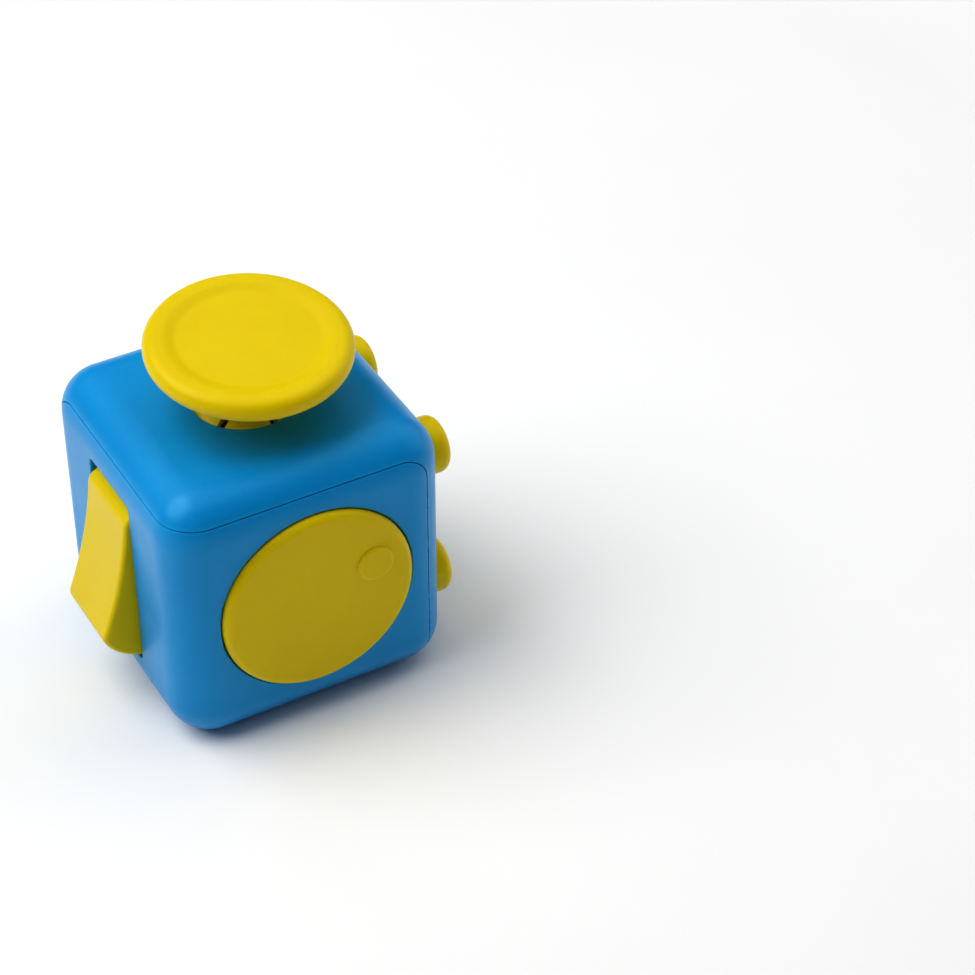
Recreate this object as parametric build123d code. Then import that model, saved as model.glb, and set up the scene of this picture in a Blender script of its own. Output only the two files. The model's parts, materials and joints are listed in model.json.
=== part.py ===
from build123d import *
import math
import os

# Fidget cube: a two-shell plastic cube with a different thing to work on each of its six faces.
#   +Z glide: a disc on a sprung gimbal         -Z breathe: a thumb dish, the face the cube stands on
#   -X flip: a rocker switch                    +X click: five push buttons
#   -Y spin: a dial                             +Y roll: three star wheels and a steel ball
# Everything is drawn about the cube's centre, in millimetres, and lifted by half a side on writing,
# so the origin of the written parts is the middle of the face that the cube stands on.

# Case
SIDE = 33.0
HALF = SIDE / 2
WALL = 1.9
EDGE_R = 5.0
INSIDE = HALF - WALL
SEAM = HALF - 2.7
SEAM_CORNER_R = 3.0
SEAM_GROOVE_W = 0.14
SEAM_GROOVE_D = 0.22
OPENING_EDGE_R = 0.18

# Working distances: a cutter's reach past everything, and past the face that it opens; how deep
# a boss or rib is sunk into the wall it stands on; play round a pin that turns, and round the axle
FAR = SIDE
PAST = 1.0
SUNK = 0.5
PIN_PLAY = 0.05
AXLE_PLAY = 0.02

# Self-tapping screws
SCREW_R = 0.6
SCREW_HOLE_R = 0.63
SCREW_L = 3.4
SCREW_HEAD_R = 1.2
SCREW_HEAD_H = 0.8
BOSS_R = 1.6
SLIM_BOSS_R = 1.4

# Glide: everything turns about GLIDE_PIVOT, and stands tipped a little as it does when let go
GLIDE_PIVOT = HALF - 8.5
GLIDE_TIP_X = 5.6
GLIDE_TIP_Y = 0.8
GLIDE_HOLE_R = 5.95
GLIDE_HOLE_EDGE_R = 0.25
GLIDE_LIP_T = 0.5
GLIDE_SEAT_R = 9.97
DOME_R = 9.7
DOME_T = 1.0
DOME_HALF_ANGLE = 54.0
DOME_SLOTS = 5
DOME_SLOT_W = 0.9
DOME_SLOT_START = 65.0
DOME_SLOT_IN_R = 3.6
DISC_R = 11.35
DISC_T = 2.7
DISC_MID = HALF + 7.6
DISC_DISH_R = 8.5
DISC_DISH_D = 0.35
DISC_DISH_SOFT = 0.9
POST_R = 2.6
POST_FOOT = GLIDE_PIVOT + 9.2
SPIGOT_R = 1.8
TUBE_R = 2.6
TUBE_FOOT = GLIDE_PIVOT - 2.6
SPIGOT_FOOT = TUBE_FOOT + 0.6
RING_IN_R = 4.0
RING_OUT_R = 5.6
RING_T = 2.0
TRUNNION_R = 0.8
TRUNNION_END = 7.3
CROSS_PIN_R = 0.75
CROSS_PIN_L = 10.8
BASE_OUT_R = 7.5
BASE_IN_R = 6.5
BASE_FLOOR = GLIDE_PIVOT - 4.8
BASE_FLOOR_T = 1.0
CUP_OUT_R = 3.7
CUP_IN_R = 2.9
CUP_FLOOR = GLIDE_PIVOT - 7.6
CUP_FLOOR_T = 0.8
BASE_TOP = GLIDE_PIVOT
CHEEK_TOP = GLIDE_PIVOT + 1.4
CHEEK_HALF_W = 2.2
LUG_T = 1.6
LUG_ARM_HALF_W = 1.2
GLIDE_COIL = (2.1, 0.22, 3.6, 4)
LUGS = [(9.2, 7.0), (9.2, -7.0), (-8.2, -8.2)]

# Spin
DIAL_R = 11.4
DIAL_PROUD = 0.8
DIAL_BACK = HALF - 1.5
DIAL_EDGE_R = 0.9
DIAL_RECESS_R = 11.55
DIAL_RECESS = HALF - 1.6
DIAL_PAD_R = 12.3
DIAL_PAD = INSIDE - 1.2
DIAL_SHAFT_R = 2.4
DIAL_SHAFT_HOLE_R = 2.46
DIAL_SHAFT_END = DIAL_PAD - 0.1
DIAL_SPIGOT_R = 1.5
BUMP_R = 2.15
BUMP_H = 0.35
BUMP_EDGE_R = 0.3
BUMP_AT = (6.6, 2.7)
WASHER_R = 4.4
WASHER_T = 0.5

# Flip: drawn level in (outward from the pin, up), then swung to the detent that holds its lower end out
ROCKER_PIN_IN = 2.0
ROCKER_X = -(HALF - ROCKER_PIN_IN)
ROCKER_SWING = 14.0
ROCKER_W = 10.0
ROCKER_SLOT_W = 10.2
ROCKER_SLOT_L = 21.6
ROCKER_SLOT_CORNER_R = 0.6
ROCKER_MID = 3.95
ROCKER_PEAK = (4.5, 7.75)
ROCKER_END_BULGE = (2.3, 9.72)
ROCKER_END = (-0.5, 10.42)
ROCKER_BACK = -1.2
ROCKER_SKIN = 1.3
ROCKER_END_EXTRA = 0.4
ROCKER_PEAK_R = 1.6
ROCKER_EDGE_R = 0.5
ROCKER_HUB_R = 2.2
ROCKER_NOTCH_R = 0.55
ROCKER_PIN_R = 0.75
ROCKER_PIN_L = 14.0
ROCKER_WEB_HALF = 1.0
EAR_IN = 5.35
EAR_OUT = 7.2
EAR_BACK = -12.6
EAR_HALF_H = 2.6
BRACKET_FRONT = -12.1
BRACKET_T = 1.0
BRACKET_HALF_L = 7.4
BRACKET_HALF_H = 2.0
BRACKET_TAB = (7.2, 10.3)
BRACKET_TAB_TOP = 5.4
BRACKET_FINGER_HALF_H = 0.7
FINGER_IN = 0.2
DETENT_LEAF_T = 0.2
DETENT_HALF_W = 2.0
DETENT_HALF_H = 1.9
DETENT_RIDGE_HALF_H = 0.7
DETENT_DEPTH = 0.3
ROCKER_SCREWS = [(8.8, 3.9), (-8.8, 3.9)]

# Click
BUTTON_R = 3.3
BUTTON_PROUD = 3.0
BUTTON_HOLE_R = 3.42
BUTTON_EDGE_R = 1.2
BUTTON_CROWN = 0.25
BUTTON_FLANGE_R = 3.85
BUTTON_FLANGE_T = 1.0
BUTTON_FLANGE_GAP = 0.25
BUTTON_BORE_R = 2.2
BUTTON_TOP_T = 1.5
BUTTON_PITCH = 8.6
BUTTON_COIL = (1.6, 0.2, 5)
BUTTONS = [(0, 0), (-1, 1), (1, 1), (-1, -1), (1, -1)]
PLATE_FRONT = 12.1
PLATE_T = 1.0
PLATE_HALF = 12.7
PLATE_CORNER_R = 2.5
PLATE_PEG_R = 1.1
PLATE_PEG_H = 1.6
PLATE_SCREWS = [(0, 9.6), (0, -9.6), (-9.6, 0)]

# Roll
WHEEL_X = -6.0
WHEEL_Y = 13.05
WHEEL_Z = 7.7
WHEEL_TEETH = 9
WHEEL_TIP_R = 4.95
WHEEL_ROOT_R = 3.7
WHEEL_TIP_HALF = 0.45
WHEEL_ROOT_HALF = 0.3
WHEEL_W = 2.8
WHEEL_TOOTH_R = 0.2
WHEEL_EDGE_R = 0.15
WHEEL_BORE_R = 0.86
WHEEL_TURNS = {1: 6.0, 0: -10.4, -1: -6.2}
AXLE_R = 0.8
AXLE_L = 20.6
WINDOW_L = 10.76
WINDOW_W = 3.25
WINDOW_X = -6.05
RIBS = [(-10.35, -9.35), (-4.5, -3.2), (3.2, 4.5), (9.35, 10.35)]
SADDLE_X = (-7.8, -4.4)
SADDLE_TOP = 12.6
RIB_FOOT = WHEEL_Y + 0.15
FRAME_Y = (6.6, 7.6)
FRAME_X = (-9.6, -4.4)
EAR_Y = (9.0, 10.2)
EAR_Z = 11.85
EAR_LIP = 1.35
LEAF_T = 0.25
LEAF_MARGIN = 0.2
LEAF_RIDGE_DEPTH = 0.5
LEAF_RIDGE_HALVES = (0.5, 0.1)
LEAF_RIDGE_HALF_W = 1.0
BALL_R = 4.3
BALL_AT = (5.6, 14.7)
BALL_MOUTH_R = 5.0
BALL_LIP_R = 4.22
BALL_LIP = (HALF - 0.6, HALF - 0.45)
BALL_POCKET_R = 4.45
BALL_BOSS_R = 5.25
BALL_BOSS_END = 8.4
BALL_SEAT_R = 4.35
BALL_CUP_R = 3.9
BALL_CUP = (9.6, 12.3)
BALL_COVER_T = 0.8
BALL_WELL_END = 5.6
BALL_WELL_R = 2.4
BALL_WELL_IN_R = 1.8
BALL_WELL_FLOOR_T = 0.6
BALL_COIL = (1.4, 0.2, 4)
BALL_SCREW_Z = 6.9

# Breathe
DISH_RIM_R = 10.2
DISH_FLOOR_R = 8.3
DISH_D = 1.5
DISH_PAD_R = 11.2
DISH_PAD_T = 1.3


def write(name, shape):
    """Lifts a finished piece so that the cube stands on z = 0, and writes it."""
    export_step(Pos(0, 0, HALF) * shape, f"parts/{name}.step")


def block(x, y, z):
    """Box between two limits along each axis."""
    size = [high - low for low, high in (x, y, z)]
    middle = [(high + low) / 2 for low, high in (x, y, z)]
    return Pos(*middle) * Box(*size)


def rod(radius, axis, start, end, at=(0, 0)):
    """Round bar along an axis, at the other two coordinates in X, Y, Z order."""
    middle = (start + end) / 2
    length = abs(end - start)
    if axis == "X":
        return Pos(middle, *at) * Rot(0, 90, 0) * Cylinder(radius, length)
    if axis == "Y":
        return Pos(at[0], middle, at[1]) * Rot(90, 0, 0) * Cylinder(radius, length)
    return Pos(*at, middle) * Cylinder(radius, length)


def rounded_cube(side, radius):
    """Cube about the centre with every edge rounded."""
    cube = Box(side, side, side)
    return fillet(cube.edges(), radius)


def turned(edges):
    """Solid of revolution about Z from a closed outline in XZ."""
    return revolve(make_face(edges), Axis.Z)


def turned_outline(points):
    """Solid of revolution about Z from (radius, height) corners."""
    corners = [(r, 0, z) for r, z in points]
    return turned(Polyline(*corners, close=True).edges())


def coil(radius, wire_r, length, turns):
    """Compression spring standing on z = 0."""
    rise = length - 2 * wire_r
    path = Helix(rise / turns, rise, radius)
    section = Plane(origin=path @ 0, z_dir=path % 0) * Circle(wire_r)
    return Pos(0, 0, wire_r) * sweep(section, path, is_frenet=True)


def screw():
    """Pan-head screw pointing up, its head's seat on z = 0."""
    shank = rod(SCREW_R, "Z", -0.1, SCREW_L)
    head = rod(SCREW_HEAD_R, "Z", -SCREW_HEAD_H, 0)
    head = fillet(head.edges().group_by(Axis.Z)[0], SCREW_HEAD_H / 2)
    arm = SCREW_HEAD_R * 0.6
    slot = SCREW_HEAD_R * 0.14
    cut = (-SCREW_HEAD_H, -SCREW_HEAD_H / 2)
    cross = block((-arm, arm), (-slot, slot), cut) + block((-slot, slot), (-arm, arm), cut)
    return shank + head - cross


def screws(places, turn):
    """Several screws as one group, each turned to its direction and set at its place."""
    return Compound(children=[Pos(*place) * turn * screw() for place in places])


POINT_UP = Rot(0, 0, 0)
POINT_X = Rot(0, 90, 0)
POINT_MINUS_X = Rot(0, -90, 0)
POINT_Y = Rot(-90, 0, 0)


# ---------------------------------------------------------------- case shells
def seam_box(grow=0.0):
    """The space that the lower shell fills, bounded by the seam on its +X, +Y and +Z sides."""
    edge = SEAM + grow
    box = block((-FAR, edge), (-FAR, edge), (-FAR, edge))
    outer = [e for e in box.edges() if sum(1 for v in e.center() if v > edge - 0.01) == 2]
    return fillet(outer, SEAM_CORNER_R + grow)


def bare_shell():
    """The whole case before it is split at the seam."""
    return rounded_cube(SIDE, EDGE_R) - rounded_cube(2 * INSIDE, EDGE_R - WALL)


def seam_groove():
    """Fine line let into the outside along the seam."""
    band = seam_box(SEAM_GROOVE_W / 2) - seam_box(-SEAM_GROOVE_W / 2)
    return band - rounded_cube(SIDE - 2 * SEAM_GROOVE_D, EDGE_R - SEAM_GROOVE_D)


def mouth(radius, depth, edge_r):
    """Round opening drawn about Z, from a depth out through the case's face, its rim rounded over."""
    turn = edge_r * (1 - math.sqrt(0.5))
    rim = HALF - edge_r
    outer = radius + edge_r
    over = HALF + PAST
    edges = [
        Line((0, 0, depth), (radius, 0, depth)),
        Line((radius, 0, depth), (radius, 0, rim)),
        ThreePointArc((radius, 0, rim), (radius + turn, 0, HALF - turn), (outer, 0, HALF)),
        Line((outer, 0, HALF), (outer, 0, over)),
        Line((outer, 0, over), (0, 0, over)),
        Line((0, 0, over), (0, 0, depth)),
    ]
    return turned(edges)


def wheel_window(z):
    """Slot through the roll face for one wheel, its rim rounded over."""
    r = OPENING_EDGE_R
    x = [WINDOW_X + side * WINDOW_L / 2 for side in (-1, 1)]
    z = [z + side * WINDOW_W / 2 for side in (-1, 1)]
    slot = block(x, (INSIDE - PAST, HALF + PAST), z)
    flare = block((x[0] - r, x[1] + r), (HALF - r, HALF + PAST), (z[0] - r, z[1] + r))
    for edge in (z[0] - r, z[1] + r):
        flare -= rod(r, "X", -FAR, FAR, (HALF - r, edge))
    for edge in (x[0] - r, x[1] + r):
        flare -= rod(r, "Z", -FAR, FAR, (edge, HALF - r))
    return slot + flare


def glide_opening():
    """Round hole for the glide's neck, over the hollow ball that its dome bears on."""
    seat = Pos(0, 0, GLIDE_PIVOT) * Sphere(GLIDE_SEAT_R)
    seat &= block((-FAR, FAR), (-FAR, FAR), (GLIDE_PIVOT, HALF - GLIDE_LIP_T))
    return seat + mouth(GLIDE_HOLE_R, INSIDE - PAST, GLIDE_HOLE_EDGE_R)


def ball_opening():
    """Countersunk mouth, retaining lip and pocket of the rolling ball."""
    lip_foot, lip_top = BALL_LIP
    profile = [
        (0, HALF + PAST),
        (BALL_MOUTH_R, HALF + PAST),
        (BALL_MOUTH_R, HALF),
        (BALL_LIP_R, lip_top),
        (BALL_LIP_R, lip_foot),
        (BALL_POCKET_R, lip_foot),
        (BALL_POCKET_R, BALL_BOSS_END - PAST),
        (0, BALL_BOSS_END - PAST),
    ]
    return Pos(BALL_AT[0], 0, 0) * Rot(-90, 0, 0) * turned_outline(profile)


def pilot(axis, start, end, at):
    """Hole for a screw's shank."""
    return rod(SCREW_HOLE_R, axis, start, end, at)


def upper_shell():
    """Corner shell of the glide, click and roll faces, with the bosses and ribs behind them."""
    shell = bare_shell() - seam_box() - seam_groove()
    for x, y in LUGS:
        shell += rod(BOSS_R, "Z", GLIDE_PIVOT, INSIDE + SUNK, (x, y))
    for y, z in PLATE_SCREWS:
        shell += rod(BOSS_R, "X", PLATE_FRONT, INSIDE + SUNK, (y, z))
    for z in (-EAR_Z, EAR_Z):
        shell += rod(SLIM_BOSS_R, "Y", EAR_Y[1], INSIDE + SUNK, (WHEEL_X, z))
    for z in (-BALL_SCREW_Z, BALL_SCREW_Z):
        shell += rod(SLIM_BOSS_R, "Y", BALL_BOSS_END, INSIDE + SUNK, (BALL_AT[0], z))
    shell += rod(BALL_BOSS_R, "Y", BALL_BOSS_END, INSIDE + SUNK, (BALL_AT[0], 0))
    for low, high in RIBS:
        shell += block(SADDLE_X, (RIB_FOOT, INSIDE + SUNK / 5), (low, high))
    # Openings
    shell -= glide_opening()
    shell -= ball_opening()
    for y, z in BUTTONS:
        shell -= on_click_face(mouth(BUTTON_HOLE_R, INSIDE - PAST, OPENING_EDGE_R), y, z)
    for z in (-WHEEL_Z, 0, WHEEL_Z):
        shell -= wheel_window(z)
    # Seats for the axle and the screws
    end = AXLE_L / 2 + 2 * PIN_PLAY
    shell -= rod(AXLE_R + AXLE_PLAY, "Z", -end, end, (WHEEL_X, WHEEL_Y))
    for x, y in LUGS:
        shell -= pilot("Z", GLIDE_PIVOT - PAST, GLIDE_PIVOT + SCREW_L - LUG_T, (x, y))
    for y, z in PLATE_SCREWS:
        shell -= pilot("X", PLATE_FRONT - PAST, PLATE_FRONT + SCREW_L - PLATE_T, (y, z))
    for z in (-EAR_Z, EAR_Z):
        shell -= pilot("Y", EAR_Y[1] - PAST, EAR_Y[0] + SCREW_L, (WHEEL_X, z))
    for z in (-BALL_SCREW_Z, BALL_SCREW_Z):
        depth = BALL_BOSS_END - BALL_COVER_T + SCREW_L
        shell -= pilot("Y", BALL_BOSS_END - PAST, depth, (BALL_AT[0], z))
    return shell


def lower_shell():
    """Corner shell of the spin, flip and breathe faces."""
    shell = (bare_shell() & seam_box()) - seam_groove()
    # Dial's pad, recess and shaft hole
    shell += rod(DIAL_PAD_R, "Y", -INSIDE - SUNK / 5, -DIAL_PAD)
    shell -= Rot(90, 0, 0) * mouth(DIAL_RECESS_R, DIAL_RECESS, OPENING_EDGE_R)
    shell -= rod(DIAL_SHAFT_HOLE_R, "Y", -HALF, -DIAL_PAD + PAST)
    # Thumb dish with a pad behind it
    shell += rod(DISH_PAD_R, "Z", -INSIDE - SUNK / 5, -INSIDE + DISH_PAD_T)
    shell -= thumb_dish()
    shell = with_rocker_slot(shell)
    # Two ears whose open grooves take the rocker's pin
    for side in (-1, 1):
        y = sorted((side * EAR_IN, side * EAR_OUT))
        shell += block((-INSIDE - SUNK / 2, EAR_BACK), y, (-EAR_HALF_H, EAR_HALF_H))
    groove_r = ROCKER_PIN_R + PIN_PLAY
    shell -= rod(groove_r, "Y", -EAR_OUT, EAR_OUT, (ROCKER_X, 0))
    shell -= block((ROCKER_X, EAR_BACK + PAST), (-EAR_OUT, EAR_OUT), (-groove_r, groove_r))
    for y, z in ROCKER_SCREWS:
        shell += rod(BOSS_R - 0.1, "X", -INSIDE - SUNK, BRACKET_FRONT, (y, z))
        shell -= pilot("X", BRACKET_FRONT + BRACKET_T - SCREW_L, BRACKET_FRONT + PAST, (y, z))
    return shell


def with_rocker_slot(shell):
    """Cuts the rocker's slot and rounds its outer rim."""
    half_w = ROCKER_SLOT_W / 2
    half_l = ROCKER_SLOT_L / 2
    slot = block((-HALF - PAST, -INSIDE + SUNK), (-half_w, half_w), (-half_l, half_l))
    shell -= fillet(slot.edges().filter_by(Axis.X), ROCKER_SLOT_CORNER_R)
    outside = shell.edges().filter_by_position(Axis.X, -HALF - 0.01, -HALF + 0.01)
    rim = [e for e in outside if abs(e.center().Y) < half_w + 0.01 and abs(e.center().Z) < half_l + 0.01]
    return fillet(rim, OPENING_EDGE_R)


def thumb_dish():
    """Shallow round dish, flat in the middle, its wall a hollow curve."""
    rise = DISH_RIM_R - DISH_FLOOR_R
    curve_r = (rise**2 + DISH_D**2) / (2 * DISH_D)
    floor = -HALF + DISH_D
    turn = math.asin(rise / curve_r) / 2
    middle = (DISH_FLOOR_R + curve_r * math.sin(turn), 0, floor - curve_r * (1 - math.cos(turn)))
    below = -HALF - PAST
    edges = [
        Line((0, 0, floor), (DISH_FLOOR_R, 0, floor)),
        ThreePointArc((DISH_FLOOR_R, 0, floor), middle, (DISH_RIM_R, 0, -HALF)),
        Line((DISH_RIM_R, 0, -HALF), (DISH_RIM_R, 0, below)),
        Line((DISH_RIM_R, 0, below), (0, 0, below)),
        Line((0, 0, below), (0, 0, floor)),
    ]
    return turned(edges)


# ---------------------------------------------------------------- glide
def tipped(shape, both=True):
    """Turns a glide piece from upright to where it rests, about the pivot."""
    tip = Rot(GLIDE_TIP_X, 0, 0) * Rot(0, GLIDE_TIP_Y if both else 0, 0)
    return Pos(0, 0, GLIDE_PIVOT) * tip * Pos(0, 0, -GLIDE_PIVOT) * shape


def glide_disc():
    """Thumb disc with a rounded rim and a shallow dish, on a post that runs down to the cross pin."""
    rim_r = DISC_T / 2
    under = DISC_MID - rim_r
    top = DISC_MID + rim_r
    dish = top - DISC_DISH_D
    rim_in = DISC_R - rim_r
    soft = DISC_DISH_SOFT
    edges = [
        Line((0, 0, dish), (DISC_DISH_R - soft, 0, dish)),
        Spline(
            (DISC_DISH_R - soft, 0, dish),
            (DISC_DISH_R + soft, 0, top),
            tangents=[(1, 0, 0), (1, 0, 0)],
        ),
        Line((DISC_DISH_R + soft, 0, top), (rim_in, 0, top)),
        ThreePointArc((rim_in, 0, top), (DISC_R, 0, DISC_MID), (rim_in, 0, under)),
        Line((rim_in, 0, under), (POST_R, 0, under)),
        Line((POST_R, 0, under), (POST_R, 0, POST_FOOT)),
        Line((POST_R, 0, POST_FOOT), (SPIGOT_R, 0, POST_FOOT)),
        Line((SPIGOT_R, 0, POST_FOOT), (SPIGOT_R, 0, SPIGOT_FOOT)),
        Line((SPIGOT_R, 0, SPIGOT_FOOT), (0, 0, SPIGOT_FOOT)),
        Line((0, 0, SPIGOT_FOOT), (0, 0, dish)),
    ]
    disc = turned(edges)
    disc -= rod(CROSS_PIN_R, "Y", -CROSS_PIN_L / 2, CROSS_PIN_L / 2, (0, GLIDE_PIVOT))
    return tipped(disc)


def glide_dome():
    """Slotted ball-shaped skirt that closes the hole, with the tube that the disc's spigot fills."""
    shell = Sphere(DOME_R) - Sphere(DOME_R - DOME_T)
    edge = DOME_R * math.cos(math.radians(DOME_HALF_ANGLE))
    shell &= block((-FAR, FAR), (-FAR, FAR), (edge, FAR))
    dome = Pos(0, 0, GLIDE_PIVOT) * shell
    dome += rod(TUBE_R, "Z", TUBE_FOOT, POST_FOOT)
    dome -= rod(POST_R + PIN_PLAY, "Z", POST_FOOT, POST_FOOT + PAST)
    dome -= rod(SPIGOT_R, "Z", TUBE_FOOT - PAST, POST_FOOT + PAST)
    dome -= rod(CROSS_PIN_R, "Y", -CROSS_PIN_L / 2, CROSS_PIN_L / 2, (0, GLIDE_PIVOT))
    half = DOME_SLOT_W / 2
    for turn in range(DOME_SLOTS):
        cut = block((DOME_SLOT_IN_R, DOME_R), (-half, half), (GLIDE_PIVOT, POST_FOOT + PAST))
        dome -= Rot(0, 0, DOME_SLOT_START + 360 * turn / DOME_SLOTS) * cut
    return tipped(dome)


def gimbal_ring():
    """Ring between the base and the glide: its trunnions lie along X, its pin holes along Y."""
    half = RING_T / 2
    ring = rod(RING_OUT_R, "Z", -half, half) - rod(RING_IN_R, "Z", -half - PAST, half + PAST)
    trunnions = rod(TRUNNION_R, "X", -TRUNNION_END, TRUNNION_END)
    ring += trunnions - rod(RING_IN_R + SUNK, "Z", -half, half)
    ring -= rod(CROSS_PIN_R + PIN_PLAY, "Y", -RING_OUT_R, RING_OUT_R)
    return tipped(Pos(0, 0, GLIDE_PIVOT) * ring, both=False)


def gimbal_pin():
    pin = rod(CROSS_PIN_R, "Y", -CROSS_PIN_L / 2, CROSS_PIN_L / 2, (0, GLIDE_PIVOT))
    return tipped(pin)


def glide_base():
    """Round housing under the glide: spring cup, wall, two cheeks for the trunnions, three lugs."""
    floor_top = BASE_FLOOR + BASE_FLOOR_T
    base = turned_outline(
        [
            (0, CUP_FLOOR),
            (CUP_OUT_R, CUP_FLOOR),
            (CUP_OUT_R, BASE_FLOOR),
            (BASE_OUT_R, BASE_FLOOR),
            (BASE_OUT_R, BASE_TOP),
            (BASE_IN_R, BASE_TOP),
            (BASE_IN_R, floor_top),
            (CUP_IN_R, floor_top),
            (CUP_IN_R, CUP_FLOOR + CUP_FLOOR_T),
            (0, CUP_FLOOR + CUP_FLOOR_T),
        ]
    )
    wall = rod(BASE_OUT_R, "Z", BASE_TOP, CHEEK_TOP) - rod(BASE_IN_R, "Z", 0, FAR)
    base += wall & block((-FAR, FAR), (-CHEEK_HALF_W, CHEEK_HALF_W), (0, FAR))
    clear = rod(BASE_IN_R, "Z", 0, FAR)
    for x, y in LUGS:
        reach = math.hypot(x, y)
        side = (-LUG_ARM_HALF_W, LUG_ARM_HALF_W)
        arm = block((BASE_OUT_R - SUNK, reach), side, (BASE_TOP - LUG_T, BASE_TOP))
        arm = Rot(0, 0, math.degrees(math.atan2(y, x))) * arm - clear
        base += arm + rod(BOSS_R, "Z", BASE_TOP - LUG_T, BASE_TOP, (x, y))
        base -= rod(SCREW_HOLE_R, "Z", BASE_TOP - LUG_T - PAST, BASE_TOP + PAST, (x, y))
    base -= rod(TRUNNION_R + PIN_PLAY, "X", -FAR, FAR, (0, GLIDE_PIVOT))
    return base


def glide_spring():
    foot = CUP_FLOOR + CUP_FLOOR_T + PIN_PLAY
    return Pos(0, 0, foot) * coil(*GLIDE_COIL)


# ---------------------------------------------------------------- spin
def spin_dial():
    """Dial drawn face up, with its thumb bump, then turned to face -Y."""
    face = HALF + DIAL_PROUD
    dial = rod(DIAL_R, "Z", DIAL_BACK, face)
    dial = fillet(dial.edges().group_by(Axis.Z)[-1], DIAL_EDGE_R)
    dial += rod(DIAL_SHAFT_R, "Z", DIAL_SHAFT_END, DIAL_BACK)
    dial += rod(DIAL_SPIGOT_R, "Z", DIAL_SHAFT_END - WASHER_T, DIAL_SHAFT_END)
    bump = Pos(*BUMP_AT, 0) * rod(BUMP_R, "Z", face - SUNK, face + BUMP_H)
    dial += fillet(bump.edges().group_by(Axis.Z)[-1], BUMP_EDGE_R)
    foot = DIAL_SHAFT_END - WASHER_T
    dial -= pilot("Z", foot - PAST, foot + SCREW_L, (0, 0))
    return Rot(90, 0, 0) * dial


def dial_washer():
    washer = rod(WASHER_R, "Y", -DIAL_SHAFT_END, -DIAL_SHAFT_END + WASHER_T)
    return washer - rod(DIAL_SPIGOT_R, "Y", -FAR, 0)


def dial_screw():
    seat = -DIAL_SHAFT_END + WASHER_T
    return Pos(0, seat, 0) * Rot(90, 0, 0) * screw()


# ---------------------------------------------------------------- flip
def swung(shape):
    """Puts a level rocker shape, drawn as (outward, along the pin, up), on the pin at its detent."""
    return Pos(ROCKER_X, 0, 0) * Rot(0, ROCKER_SWING, 0) * Rot(0, 0, 180) * shape


def rocker_outline():
    """Closed level outline in (outward, up): hollow front, rounded peaks, bulging ends."""
    peak, end = ROCKER_PEAK, ROCKER_END
    bulge = ROCKER_END_BULGE
    edges = []
    for side in (-1, 1):
        top = (peak[0], 0, side * peak[1])
        foot = (end[0], 0, side * end[1])
        back = (ROCKER_BACK, 0, side * end[1])
        edges.append(ThreePointArc(top, (bulge[0], 0, side * bulge[1]), foot))
        edges.append(Line(foot, back))
    edges.append(ThreePointArc((peak[0], 0, -peak[1]), (ROCKER_MID, 0, 0), (peak[0], 0, peak[1])))
    edges.append(Line((ROCKER_BACK, 0, -end[1]), (ROCKER_BACK, 0, end[1])))
    return make_face(edges)


def flip_rocker():
    half = ROCKER_W / 2
    body = extrude(rocker_outline(), half, both=True)
    peaks = body.edges().filter_by(Axis.Y).group_by(Axis.X)[-1]
    body = fillet(peaks, ROCKER_PEAK_R)
    sides = [e for e in body.edges() if abs(abs(e.center().Y) - half) < 0.01 and e.center().X > 0]
    body = fillet(sides, ROCKER_EDGE_R)
    inner = half - ROCKER_SKIN
    reach = ROCKER_END[1] - ROCKER_SKIN - ROCKER_END_EXTRA
    under = ROCKER_MID - ROCKER_SKIN
    # Hollow back, following the front at the thickness of the skin
    hollow = block((ROCKER_BACK - PAST, under), (-inner, inner), (-reach, reach))
    body -= hollow & extrude(offset(rocker_outline(), -ROCKER_SKIN), half, both=True)
    body -= block((ROCKER_BACK - PAST, 0), (-inner, inner), (-reach, reach))
    # Hub for the pin, and the web that ties it to the skin
    wide = (-inner - SUNK / 5, inner + SUNK / 5)
    body += rod(ROCKER_HUB_R, "Y", *wide)
    body += block((0, under + SUNK), wide, (-ROCKER_WEB_HALF, ROCKER_WEB_HALF))
    # Two notches in the hub's back, one for each detent
    for turn in (-ROCKER_SWING, ROCKER_SWING):
        notch = rod(ROCKER_NOTCH_R, "Y", -inner, inner, (-ROCKER_HUB_R, 0))
        body -= Rot(0, turn, 0) * notch
    body -= rod(ROCKER_PIN_R, "Y", -half - PAST, half + PAST)
    return swung(body)


def rocker_pin():
    half = ROCKER_PIN_L / 2
    return rod(ROCKER_PIN_R, "Y", -half, half, (ROCKER_X, 0))


def rocker_bracket():
    """Plate that shuts the pin in its grooves and backs the detent leaf."""
    depth = (BRACKET_FRONT, BRACKET_FRONT + BRACKET_T)
    low = -BRACKET_HALF_H
    bracket = block(depth, (-BRACKET_HALF_L, BRACKET_HALF_L), (low, BRACKET_HALF_H))
    for y, z in ROCKER_SCREWS:
        side = math.copysign(1, y)
        tab = sorted(side * end for end in BRACKET_TAB)
        bracket += block(depth, tab, (low, BRACKET_TAB_TOP))
        # Finger that reaches down the ear's groove to the pin
        finger = sorted((side * (EAR_IN + FINGER_IN), side * (EAR_OUT - FINGER_IN)))
        touch = ROCKER_X + ROCKER_PIN_R + PIN_PLAY
        across = (-BRACKET_FINGER_HALF_H, BRACKET_FINGER_HALF_H)
        bracket += block((touch, BRACKET_FRONT), finger, across)
        bracket -= rod(SCREW_HOLE_R, "X", -FAR, 0, (y, z))
    return bracket


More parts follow.
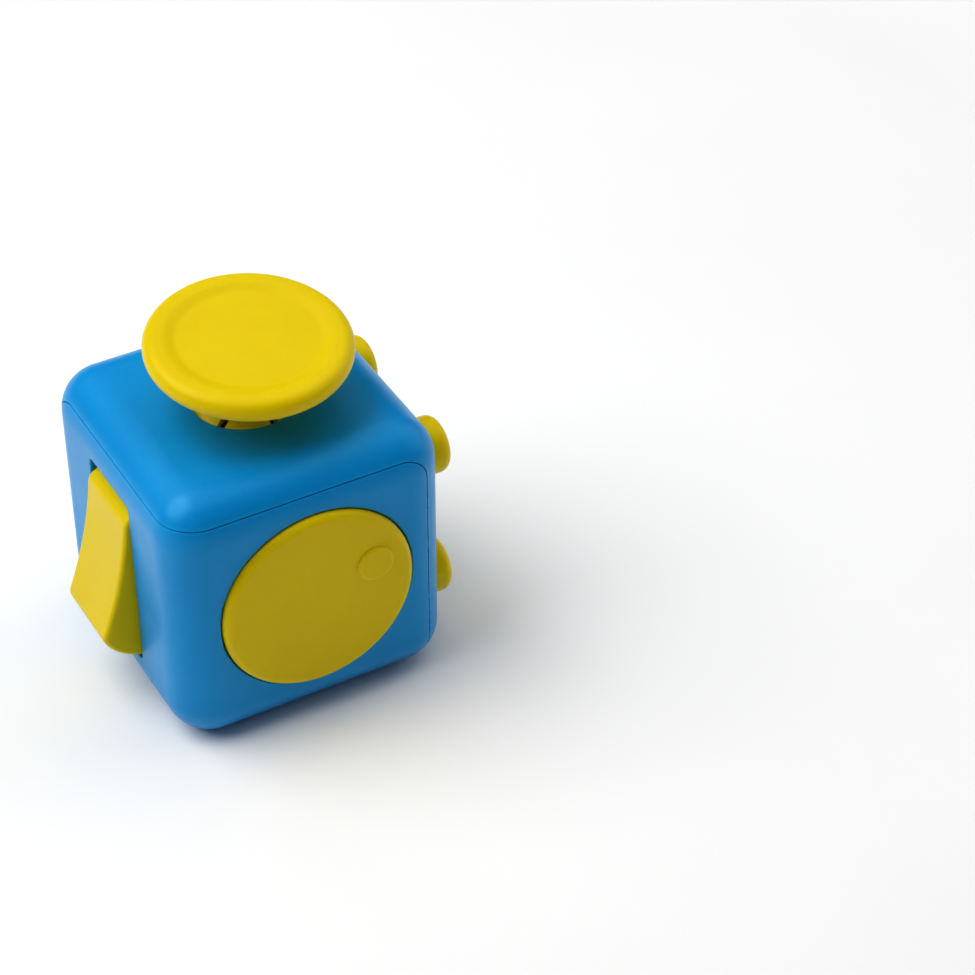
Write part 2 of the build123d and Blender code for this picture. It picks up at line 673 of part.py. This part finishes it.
def rocker_leaf_spring():
    """Bent leaf on the bracket whose ridge drops into the hub's notch."""
    back = BRACKET_FRONT - AXLE_PLAY
    front = back - DETENT_LEAF_T
    points = [
        (back, -DETENT_HALF_H),
        (back, DETENT_HALF_H),
        (front, DETENT_HALF_H),
        (front, DETENT_RIDGE_HALF_H),
        (ROCKER_X + ROCKER_HUB_R - DETENT_DEPTH, 0),
        (front, -DETENT_RIDGE_HALF_H),
        (front, -DETENT_HALF_H),
    ]
    outline = Polyline(*[(x, 0, z) for x, z in points], close=True)
    return extrude(make_face(outline.edges()), DETENT_HALF_W, dir=(0, 1, 0), both=True)


# ---------------------------------------------------------------- click
def click_button():
    """Hollow cap drawn upright about Z at its true height, flange at the bottom."""
    foot = INSIDE - BUTTON_FLANGE_GAP - BUTTON_FLANGE_T
    flange = foot + BUTTON_FLANGE_T
    top = HALF + BUTTON_PROUD
    crown = top - BUTTON_CROWN
    bore = top - BUTTON_TOP_T
    half_crown = BUTTON_CROWN / 4
    edges = [
        Line((BUTTON_BORE_R, 0, foot), (BUTTON_FLANGE_R, 0, foot)),
        Line((BUTTON_FLANGE_R, 0, foot), (BUTTON_FLANGE_R, 0, flange)),
        Line((BUTTON_FLANGE_R, 0, flange), (BUTTON_R, 0, flange)),
        Line((BUTTON_R, 0, flange), (BUTTON_R, 0, crown)),
        ThreePointArc((BUTTON_R, 0, crown), (BUTTON_R / 2, 0, top - half_crown), (0, 0, top)),
        Line((0, 0, top), (0, 0, bore)),
        Line((0, 0, bore), (BUTTON_BORE_R, 0, bore)),
        Line((BUTTON_BORE_R, 0, bore), (BUTTON_BORE_R, 0, foot)),
    ]
    button = turned(edges)
    rings = button.edges().filter_by(GeomType.CIRCLE)
    corner = rings.filter_by(lambda e: abs(e.radius - BUTTON_R) < 0.01).sort_by(Axis.Z)[-1]
    return fillet(corner, BUTTON_EDGE_R)


def on_click_face(shape, y, z):
    """Lays an upright shape along X, over one button's place."""
    return Pos(0, y * BUTTON_PITCH, z * BUTTON_PITCH) * Rot(0, 90, 0) * shape


def button_spring():
    foot = PLATE_FRONT + PIN_PLAY
    length = HALF + BUTTON_PROUD - BUTTON_TOP_T - PIN_PLAY - foot
    radius, wire_r, turns = BUTTON_COIL
    return Pos(0, 0, foot) * coil(radius, wire_r, length, turns)


def button_plate():
    """Plate behind the buttons, with a peg inside each spring."""
    depth = (PLATE_FRONT - PLATE_T, PLATE_FRONT)
    side = (-PLATE_HALF, PLATE_HALF)
    plate = block(depth, side, side)
    plate = fillet(plate.edges().filter_by(Axis.X), PLATE_CORNER_R)
    for y, z in BUTTONS:
        place = (y * BUTTON_PITCH, z * BUTTON_PITCH)
        plate += rod(PLATE_PEG_R, "X", PLATE_FRONT, PLATE_FRONT + PLATE_PEG_H, place)
    for y, z in PLATE_SCREWS:
        plate -= rod(SCREW_HOLE_R, "X", 0, FAR, (y, z))
    return plate


# ---------------------------------------------------------------- roll
def roll_wheel(turn):
    """Star wheel with flat-tipped teeth, a tooth at the given angle from +Y towards +X."""
    points = []
    for tooth in range(WHEEL_TEETH):
        for r, half, step in ((WHEEL_TIP_R, WHEEL_TIP_HALF, 0), (WHEEL_ROOT_R, WHEEL_ROOT_HALF, 0.5)):
            angle = math.radians(turn + 360 * (tooth + step) / WHEEL_TEETH)
            out = (math.sin(angle), math.cos(angle))
            side = (math.cos(angle), -math.sin(angle))
            for sign in (-1, 1):
                points.append(
                    (
                        WHEEL_X + r * out[0] + sign * half * side[0],
                        WHEEL_Y + r * out[1] + sign * half * side[1],
                    )
                )
    wheel = extrude(make_face(Polyline(*points, close=True).edges()), WHEEL_W / 2, both=True)
    wheel = fillet(wheel.edges().filter_by(Axis.Z), WHEEL_TOOTH_R)
    rims = wheel.edges().group_by(Axis.Z)
    wheel = fillet(rims[0] + rims[-1], WHEEL_EDGE_R)
    return wheel - rod(WHEEL_BORE_R, "Z", -WHEEL_W, WHEEL_W, (WHEEL_X, WHEEL_Y))


def wheel_axle():
    return rod(AXLE_R, "Z", -AXLE_L / 2, AXLE_L / 2, (WHEEL_X, WHEEL_Y))


def wheel_bracket():
    """Frame behind the wheels whose saddles hold the axle against the shell's ribs."""
    ends = (RIBS[0][0], RIBS[-1][1])
    bracket = block(FRAME_X, FRAME_Y, ends)
    for low, high in RIBS:
        bracket += block(SADDLE_X, (FRAME_Y[0], SADDLE_TOP), (low, high))
    for side in (-1, 1):
        z = sorted((side * RIBS[-1][0], side * (EAR_Z + EAR_LIP)))
        bracket += block(SADDLE_X, EAR_Y, z)
        through = (EAR_Y[0] - PAST, EAR_Y[1] + PAST)
        bracket -= rod(SCREW_HOLE_R, "Y", *through, (WHEEL_X, side * EAR_Z))
    return bracket - rod(AXLE_R + AXLE_PLAY, "Z", -FAR, FAR, (WHEEL_X, WHEEL_Y))


def wheel_click_leaf():
    """Spring comb: one finger under each wheel, its ridge between two teeth."""
    low = FRAME_Y[1]
    top = low + LEAF_T
    end = WHEEL_Z + WHEEL_W / 2
    spine = (FRAME_X[0] + LEAF_MARGIN, SADDLE_X[0] - LEAF_MARGIN)
    leaf = block(spine, (low, top), (-end, end))
    ridge_r = WHEEL_TIP_R - LEAF_RIDGE_DEPTH
    for step, turn in WHEEL_TURNS.items():
        z = step * WHEEL_Z
        finger = (z - WHEEL_W / 2, z + WHEEL_W / 2)
        leaf += block((spine[1] - LEAF_MARGIN, FRAME_X[1] - LEAF_MARGIN), (low, top), finger)
        x = WHEEL_X - ridge_r * math.sin(math.radians(turn))
        y = WHEEL_Y - ridge_r * math.cos(math.radians(turn))
        foot = top - LEAF_T / 5
        wide, narrow = LEAF_RIDGE_HALVES
        ridge = [(x - wide, foot), (x + wide, foot), (x + narrow, y), (x - narrow, y)]
        face = make_face(Polyline(*ridge, close=True).edges())
        leaf += Pos(0, 0, z) * extrude(face, LEAF_RIDGE_HALF_W, both=True)
    return leaf


def roll_ball():
    return Pos(BALL_AT[0], BALL_AT[1], 0) * Sphere(BALL_R)


def ball_cup():
    """Sprung cup with a hollow seat that the ball rolls in."""
    cup = rod(BALL_CUP_R, "Y", *BALL_CUP, (BALL_AT[0], 0))
    cup -= Pos(BALL_AT[0], BALL_AT[1], 0) * Sphere(BALL_SEAT_R)
    return cup


def ball_retainer():
    """Cover of the ball's barrel, with the spring's well and two screw lugs."""
    x = BALL_AT[0]
    inner = BALL_BOSS_END - BALL_COVER_T
    half_w = SLIM_BOSS_R
    lugs = (-BALL_SCREW_Z, BALL_SCREW_Z)
    cover = rod(BALL_BOSS_R, "Y", inner, BALL_BOSS_END, (x, 0))
    cover += block((x - half_w, x + half_w), (inner, BALL_BOSS_END), lugs)
    for z in lugs:
        cover += rod(half_w, "Y", inner, BALL_BOSS_END, (x, z))
    well_floor = BALL_WELL_END + BALL_WELL_FLOOR_T
    cover += rod(BALL_WELL_R, "Y", BALL_WELL_END, inner, (x, 0))
    cover -= rod(BALL_WELL_IN_R, "Y", well_floor, BALL_BOSS_END + PAST, (x, 0))
    for z in lugs:
        cover -= rod(SCREW_HOLE_R, "Y", 0, FAR, (x, z))
    return cover


def ball_spring():
    foot = BALL_WELL_END + BALL_WELL_FLOOR_T + PIN_PLAY
    length = BALL_CUP[0] - PIN_PLAY - foot
    radius, wire_r, turns = BALL_COIL
    return Pos(BALL_AT[0], foot, 0) * Rot(-90, 0, 0) * coil(radius, wire_r, length, turns)


# ---------------------------------------------------------------- write every piece
os.makedirs("parts", exist_ok=True)

write("upper_shell", upper_shell())
write("lower_shell", lower_shell())

write("glide_disc", glide_disc())
write("glide_dome", glide_dome())
write("gimbal_ring", gimbal_ring())
write("gimbal_pin", gimbal_pin())
write("glide_base", glide_base())
write("glide_spring", glide_spring())
write("glide_base_screws", screws([(x, y, BASE_TOP - LUG_T) for x, y in LUGS], POINT_UP))

write("spin_dial", spin_dial())
write("dial_washer", dial_washer())
write("dial_screw", dial_screw())

write("flip_rocker", flip_rocker())
write("rocker_pin", rocker_pin())
write("rocker_bracket", rocker_bracket())
write("rocker_leaf_spring", rocker_leaf_spring())
rocker_seat = BRACKET_FRONT + BRACKET_T
write("rocker_screws", screws([(rocker_seat, y, z) for y, z in ROCKER_SCREWS], POINT_MINUS_X))

for number, (y, z) in enumerate(BUTTONS, start=1):
    write(f"click_button_{number}", on_click_face(click_button(), y, z))
    write(f"button_spring_{number}", on_click_face(button_spring(), y, z))
write("button_plate", button_plate())
plate_back = PLATE_FRONT - PLATE_T
write("button_plate_screws", screws([(plate_back, y, z) for y, z in PLATE_SCREWS], POINT_X))

for number, (step, turn) in enumerate(WHEEL_TURNS.items(), start=1):
    write(f"roll_wheel_{number}", Pos(0, 0, step * WHEEL_Z) * roll_wheel(turn))
write("wheel_axle", wheel_axle())
write("wheel_bracket", wheel_bracket())
write("wheel_click_leaf", wheel_click_leaf())
ear_places = [(WHEEL_X, EAR_Y[0], side * EAR_Z) for side in (-1, 1)]
write("wheel_bracket_screws", screws(ear_places, POINT_Y))

write("roll_ball", roll_ball())
write("ball_cup", ball_cup())
write("ball_spring", ball_spring())
write("ball_retainer", ball_retainer())
cover_back = BALL_BOSS_END - BALL_COVER_T
cover_places = [(BALL_AT[0], cover_back, side * BALL_SCREW_Z) for side in (-1, 1)]
write("ball_retainer_screws", screws(cover_places, POINT_Y))
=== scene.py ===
import json
import math

import bpy
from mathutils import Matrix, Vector


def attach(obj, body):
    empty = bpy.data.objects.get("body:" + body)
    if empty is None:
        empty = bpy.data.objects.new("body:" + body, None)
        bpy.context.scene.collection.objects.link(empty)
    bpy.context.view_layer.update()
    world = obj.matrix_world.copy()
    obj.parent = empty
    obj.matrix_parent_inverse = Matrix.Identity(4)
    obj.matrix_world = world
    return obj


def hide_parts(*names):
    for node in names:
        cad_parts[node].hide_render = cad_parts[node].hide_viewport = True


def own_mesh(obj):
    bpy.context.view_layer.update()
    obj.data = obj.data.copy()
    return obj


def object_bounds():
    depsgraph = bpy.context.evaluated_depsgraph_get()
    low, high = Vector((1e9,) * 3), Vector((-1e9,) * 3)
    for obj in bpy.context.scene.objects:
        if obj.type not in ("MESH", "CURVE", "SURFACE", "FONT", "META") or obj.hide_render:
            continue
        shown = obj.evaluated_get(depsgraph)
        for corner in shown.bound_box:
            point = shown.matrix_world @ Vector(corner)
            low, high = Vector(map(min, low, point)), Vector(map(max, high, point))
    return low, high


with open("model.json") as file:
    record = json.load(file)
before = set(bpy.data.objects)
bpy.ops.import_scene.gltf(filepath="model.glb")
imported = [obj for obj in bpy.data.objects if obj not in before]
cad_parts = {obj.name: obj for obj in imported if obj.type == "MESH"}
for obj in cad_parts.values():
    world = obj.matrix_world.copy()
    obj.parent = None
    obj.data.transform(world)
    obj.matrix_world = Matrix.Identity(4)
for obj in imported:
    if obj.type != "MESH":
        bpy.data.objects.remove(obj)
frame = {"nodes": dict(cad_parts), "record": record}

CAD_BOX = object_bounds()
MM = 0.001

# Camera, lights and floor. Turns are seen from above, from +Y towards +X.
CAMERA_AT = (-100.6 * MM, -232.2 * MM, 223.9 * MM)
CAMERA_TURN = 29.4
CAMERA_DOWN = 39.0
CAMERA_LENS = 107.7
FLOOR_SIZE = 4.0
FLOOR_COLOUR = (0.90, 0.90, 0.90)
# Beyond the lamps' reach the floor card is lit on its own, from nought at the first distance to full at the second
FLOOR_GLOW = 0.62
FLOOR_GLOW_FROM = 0.15
FLOOR_GLOW_FULL = 0.75
SKY_STRENGTH = 0.06
BACKDROP_STRENGTH = 0.84
LIGHT_FAR = 0.55
VIEW_TRANSFORM = "Standard"
VIEW_LOOK = "Medium High Contrast"
# name: direction that it comes from (turn, height in degrees), size in metres, power in watts
LIGHTS = {
    "key": (-68.0, 54.0, 0.55, 2.45),
    "top": (25.0, 76.0, 0.80, 1.38),
    "side": (96.0, 30.0, 0.60, 0.75),
}
# node, joint that presses it, direction that it stands in
SPRINGS = [(f"button_spring_{i}", f"button_{i}_press", (1, 0, 0)) for i in range(1, 6)]
SPRINGS += [("ball_spring", "ball_press", (0, 1, 0))]
# Coloured plastic: how deep light soaks in, depth of the moulding's sink waves and of its surface grain
GLOW_DEPTH = 1.2 * MM
SINK_DEPTH = 60e-6
GRAIN_DEPTH = 6e-6
# How much handling smooths the edges, and how far smudges and pores change the faces' roughness
EDGE_POLISH = -0.07
SMUDGE = 0.05
FINE_ROUGH = 0.03
# Cosine between the rounded and the true surface direction, where an edge counts as full and as none
EDGE_FULL = 0.86
EDGE_NONE = 0.995
EDGE_SAMPLES = 4
NYLON_GRAIN_DEPTH = 8e-6
NYLON_ROUGH_SPREAD = 0.06
SCRATCH_DEPTH = 2e-6
# Scratches are longer along X, and a polished patch of metal is smoother than a dull one
SCRATCH_STRETCH = (0.15, 1.0, 1.0)
METAL_SMOOTH = 0.7
METAL_DULL = 1.3
FLOOR_ROUGHNESS = 0.9
FLOOR_PALER = 1.02


# ---------------------------------------------------------------- node helpers
def link(tree, source, target):
    """Joins an output socket to an input socket."""
    tree.links.new(source, target)


def add_node(tree, kind, **inputs):
    """A node with its input sockets set by name."""
    node = tree.nodes.new(kind)
    for name, value in inputs.items():
        node.inputs[name.replace("_", " ")].default_value = value
    return node


def noise(tree, place, per_mm, detail=2.0, roughness=0.5):
    """Noise over the piece's own coordinates, with its coarseness given per millimetre."""
    node = add_node(tree, "ShaderNodeTexNoise", Scale=per_mm / MM, Detail=detail, Roughness=roughness)
    link(tree, place, node.inputs["Vector"])
    return node.outputs["Fac"]


def spread(tree, value, low, high, from_low=0.3, from_high=0.7):
    """Maps a noise value to a range."""
    node = add_node(
        tree, "ShaderNodeMapRange", From_Min=from_low, From_Max=from_high, To_Min=low, To_Max=high
    )
    link(tree, value, node.inputs["Value"])
    return node.outputs["Result"]


def combine(tree, operation, first, second):
    """One step of arithmetic; either side is a socket or a number."""
    node = tree.nodes.new("ShaderNodeMath")
    node.operation = operation
    for socket, value in zip(node.inputs, (first, second)):
        if isinstance(value, (int, float)):
            socket.default_value = value
        else:
            link(tree, value, socket)
    return node.outputs["Value"]


def blended(tree, factor, first, second):
    """Colour between two, by a factor socket; either colour is a socket or a value."""
    node = tree.nodes.new("ShaderNodeMix")
    node.data_type = "RGBA"
    link(tree, factor, node.inputs["Factor"])
    for socket, value in zip((node.inputs["A"], node.inputs["B"]), (first, second)):
        if isinstance(value, tuple):
            socket.default_value = (*value, 1.0)
        else:
            link(tree, value, socket)
    return node.outputs["Result"]


def edge_mask(tree, radius):
    """One along a piece's edges and corners, nought on its faces."""
    soft = add_node(tree, "ShaderNodeBevel", Radius=radius)
    soft.samples = EDGE_SAMPLES
    hard = tree.nodes.new("ShaderNodeNewGeometry")
    dot = tree.nodes.new("ShaderNodeVectorMath")
    dot.operation = "DOT_PRODUCT"
    link(tree, soft.outputs["Normal"], dot.inputs[0])
    link(tree, hard.outputs["Normal"], dot.inputs[1])
    return spread(tree, dot.outputs["Value"], 1.0, 0.0, EDGE_FULL, EDGE_NONE)


def bumped(tree, heights):
    """Chains bumps, each a (height socket, depth in metres, strength)."""
    normal = None
    for height, depth, strength in heights:
        node = add_node(tree, "ShaderNodeBump", Strength=strength, Distance=depth)
        link(tree, height, node.inputs["Height"])
        if normal:
            link(tree, normal, node.inputs["Normal"])
        normal = node.outputs["Normal"]
    return normal


def new_material(name):
    """A material with its tree, its shader and the piece's own coordinates."""
    material = bpy.data.materials.new(name)
    material.use_nodes = True
    tree = material.node_tree
    shader = tree.nodes["Principled BSDF"]
    place = tree.nodes.new("ShaderNodeTexCoord").outputs["Object"]
    return material, tree, shader, place


# ---------------------------------------------------------------- materials
def moulded_plastic(name, colour, deep, light, roughness, edge_radius, gloss, glow):
    """Satin injection-moulded plastic: fine grain, faint flow mottling, handled smooth along edges, and lighter
    along edges as partly rubbed wear and partly a painted highlight.

    gloss is the specular level and tint; glow is the share of light that soaks in and its reach by channel.
    """
    material, tree, shader, place = new_material(name)
    flow = spread(tree, noise(tree, place, per_mm=0.09, detail=3.0, roughness=0.55), 0.0, 1.0)
    speck = spread(tree, noise(tree, place, per_mm=3.2, detail=2.0, roughness=0.6), 0.0, 0.35)
    tone = blended(tree, flow, deep, colour)
    tone = blended(tree, speck, tone, colour)
    # Edges lightened in patches towards the light colour: partly rubbed wear, partly a painted highlight for the
    # light lip along seams and rims
    edges = edge_mask(tree, edge_radius)
    wear_and_highlight_patches = spread(tree, noise(tree, place, per_mm=0.5, detail=4.0, roughness=0.65), 0.12, 0.6)
    rubbed_and_highlit = combine(tree, "MULTIPLY", edges, wear_and_highlight_patches)
    link(tree, blended(tree, rubbed_and_highlit, tone, light), shader.inputs["Base Color"])

    smudges = noise(tree, place, per_mm=0.16, detail=5.0, roughness=0.62)
    touched = spread(tree, smudges, roughness + SMUDGE, roughness - SMUDGE)
    pores = noise(tree, place, per_mm=5.0, detail=2.0, roughness=0.5)
    fine = spread(tree, pores, -FINE_ROUGH, FINE_ROUGH)
    polish = combine(tree, "MULTIPLY", edges, EDGE_POLISH)
    rough = combine(tree, "ADD", combine(tree, "ADD", touched, fine), polish)
    link(tree, rough, shader.inputs["Roughness"])

    grain = noise(tree, place, per_mm=6.5, detail=2.0, roughness=0.6)
    sink = noise(tree, place, per_mm=0.12, detail=1.0, roughness=0.4)
    normal = bumped(tree, [(sink, SINK_DEPTH, 0.5), (grain, GRAIN_DEPTH, 0.35)])
    link(tree, normal, shader.inputs["Normal"])

    level, tint = gloss
    shader.inputs["Specular IOR Level"].default_value = level
    shader.inputs["Specular Tint"].default_value = (*tint, 1.0)
    # Light that soaks in a little way and comes out near by, furthest in the colour's own channel
    share, reach = glow
    shader.inputs["Subsurface Weight"].default_value = share
    shader.inputs["Subsurface Radius"].default_value = reach
    shader.inputs["Subsurface Scale"].default_value = GLOW_DEPTH
    return material


def plain_plastic(name, colour, deep, roughness):
    """Uncoloured nylon of the inner pieces."""
    material, tree, shader, place = new_material(name)
    flow = spread(tree, noise(tree, place, per_mm=0.2, detail=4.0, roughness=0.6), 0.0, 1.0)
    link(tree, blended(tree, flow, deep, colour), shader.inputs["Base Color"])
    patches = noise(tree, place, per_mm=1.5, detail=3.0, roughness=0.6)
    rough = spread(tree, patches, roughness - NYLON_ROUGH_SPREAD, roughness + NYLON_ROUGH_SPREAD)
    link(tree, rough, shader.inputs["Roughness"])
    grain = noise(tree, place, per_mm=4.0, detail=3.0, roughness=0.6)
    link(tree, bumped(tree, [(grain, NYLON_GRAIN_DEPTH, 0.5)]), shader.inputs["Normal"])
    return material


def metal(name, colour, dull, roughness, scratches):
    """Bare metal with a little tarnish and fine scratches."""
    material, tree, shader, place = new_material(name)
    stain = spread(tree, noise(tree, place, per_mm=0.25, detail=4.0, roughness=0.6), 0.0, 1.0)
    link(tree, blended(tree, stain, dull, colour), shader.inputs["Base Color"])
    shader.inputs["Metallic"].default_value = 1.0
    patches = noise(tree, place, per_mm=0.8, detail=5.0, roughness=0.7)
    rough = spread(tree, patches, roughness * METAL_SMOOTH, roughness * METAL_DULL)
    link(tree, rough, shader.inputs["Roughness"])
    stretch = tree.nodes.new("ShaderNodeMapping")
    stretch.inputs["Scale"].default_value = SCRATCH_STRETCH
    link(tree, place, stretch.inputs["Vector"])
    hair = noise(tree, stretch.outputs["Vector"], per_mm=9.0, detail=3.0, roughness=0.7)
    link(tree, bumped(tree, [(hair, SCRATCH_DEPTH, scratches)]), shader.inputs["Normal"])
    return material


MATERIALS = {
    "case_blue": moulded_plastic(
        "case_blue",
        colour=(0.003, 0.280, 0.64),
        deep=(0.002, 0.247, 0.60),
        light=(0.04, 0.42, 0.80),
        roughness=0.35,
        edge_radius=0.5 * MM,
        gloss=(0.48, (0.34, 0.86, 1.0)),
        glow=(0.12, (0.05, 0.4, 1.0)),
    ),
    "accent_yellow": moulded_plastic(
        "accent_yellow",
        colour=(0.73, 0.560, 0.0008),
        deep=(0.69, 0.515, 0.0006),
        light=(0.88, 0.70, 0.02),
        roughness=0.36,
        edge_radius=0.4 * MM,
        gloss=(0.32, (1.0, 0.88, 0.30)),
        glow=(0.35, (1.0, 0.55, 0.03)),
    ),
    "inner_plastic": plain_plastic("inner_plastic", (0.60, 0.59, 0.55), (0.50, 0.49, 0.45), 0.5),
    "spring_steel": metal("spring_steel", (0.60, 0.60, 0.61), (0.42, 0.42, 0.44), 0.28, 0.4),
    "steel": metal("steel", (0.66, 0.66, 0.67), (0.50, 0.50, 0.52), 0.3, 0.5),
    "ball_chrome": metal("ball_chrome", (0.83, 0.82, 0.80), (0.78, 0.77, 0.75), 0.07, 0.15),
}


def dress_cad_nodes():
    """Every CAD piece that still shows takes the material of its slot."""
    slots = {part["node"]: part["material_slot"] for part in frame["record"]["subparts"]}
    for name, piece in frame["nodes"].items():
        for holder in piece.material_slots:
            holder.material = MATERIALS[slots[name]]


# ---------------------------------------------------------------- springs
def make_springs():
    """Copies of the springs, each with a mesh of its own and fixed to the case, in place of the hidden CAD
    springs.
    """
    for node, joint, axis in SPRINGS:
        spring = frame["nodes"][node].copy()
        spring.data = spring.data.copy()
        spring.name = node + "_wire"
        bpy.context.scene.collection.objects.link(spring)
        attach(spring, "case")
        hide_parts(node)
        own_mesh(spring)


# ---------------------------------------------------------------- stage
def aimed(turn, height):
    """Direction from the object towards a turn from +Y towards +X, at a height in degrees."""
    turn, height = math.radians(turn), math.radians(height)
    flat = math.cos(height)
    return Vector((math.sin(turn) * flat, math.cos(turn) * flat, math.sin(height)))


def make_floor():
    half = FLOOR_SIZE / 2
    mesh = bpy.data.meshes.new("floor")
    corners = [(-half, -half, 0), (half, -half, 0), (half, half, 0), (-half, half, 0)]
    mesh.from_pydata(corners, [], [(0, 1, 2, 3)])
    floor = bpy.data.objects.new("floor", mesh)
    bpy.context.scene.collection.objects.link(floor)
    material, tree, shader, place = new_material("floor_card")
    mottle = spread(tree, noise(tree, place, per_mm=0.02, detail=3.0, roughness=0.5), 0.0, 1.0)
    paler = tuple(min(c * FLOOR_PALER, 1.0) for c in FLOOR_COLOUR)
    link(tree, blended(tree, mottle, FLOOR_COLOUR, paler), shader.inputs["Base Color"])
    shader.inputs["Roughness"].default_value = FLOOR_ROUGHNESS
    reach = tree.nodes.new("ShaderNodeVectorMath")
    reach.operation = "LENGTH"
    link(tree, place, reach.inputs[0])
    glow = spread(tree, reach.outputs["Value"], 0.0, FLOOR_GLOW, FLOOR_GLOW_FROM, FLOOR_GLOW_FULL)
    link(tree, glow, shader.inputs["Emission Strength"])
    shader.inputs["Emission Color"].default_value = (1.0, 1.0, 1.0, 1.0)
    mesh.materials.append(material)


def make_lights():
    world = bpy.data.worlds.new("studio")
    bpy.context.scene.world = world
    world.use_nodes = True
    tree = world.node_tree
    sky = tree.nodes["Background"]
    sky.inputs["Color"].default_value = (1.0, 1.0, 1.0, 1.0)
    seen = tree.nodes.new("ShaderNodeLightPath").outputs["Is Camera Ray"]
    link(tree, spread(tree, seen, SKY_STRENGTH, BACKDROP_STRENGTH, 0.0, 1.0), sky.inputs["Strength"])
    middle = (CAD_BOX[0] + CAD_BOX[1]) / 2
    for name, (turn, height, size, power) in LIGHTS.items():
        lamp = bpy.data.lights.new(name, "AREA")
        lamp.shape = "DISK"
        lamp.size = size
        lamp.energy = power
        holder = bpy.data.objects.new(name, lamp)
        bpy.context.scene.collection.objects.link(holder)
        away = aimed(turn, height)
        holder.location = middle + away * LIGHT_FAR
        holder.rotation_euler = away.to_track_quat("Z", "Y").to_euler()


def make_camera():
    lens = bpy.data.cameras.new("camera")
    lens.lens = CAMERA_LENS
    lens.clip_start = 10 * MM
    camera = bpy.data.objects.new("camera", lens)
    bpy.context.scene.collection.objects.link(camera)
    camera.location = CAMERA_AT
    camera.rotation_euler = aimed(CAMERA_TURN, -CAMERA_DOWN).to_track_quat("-Z", "Y").to_euler()
    bpy.context.scene.camera = camera


dress_cad_nodes()
make_springs()
make_floor()
make_lights()
make_camera()
bpy.context.scene.view_settings.view_transform = VIEW_TRANSFORM
bpy.context.scene.view_settings.look = VIEW_LOOK
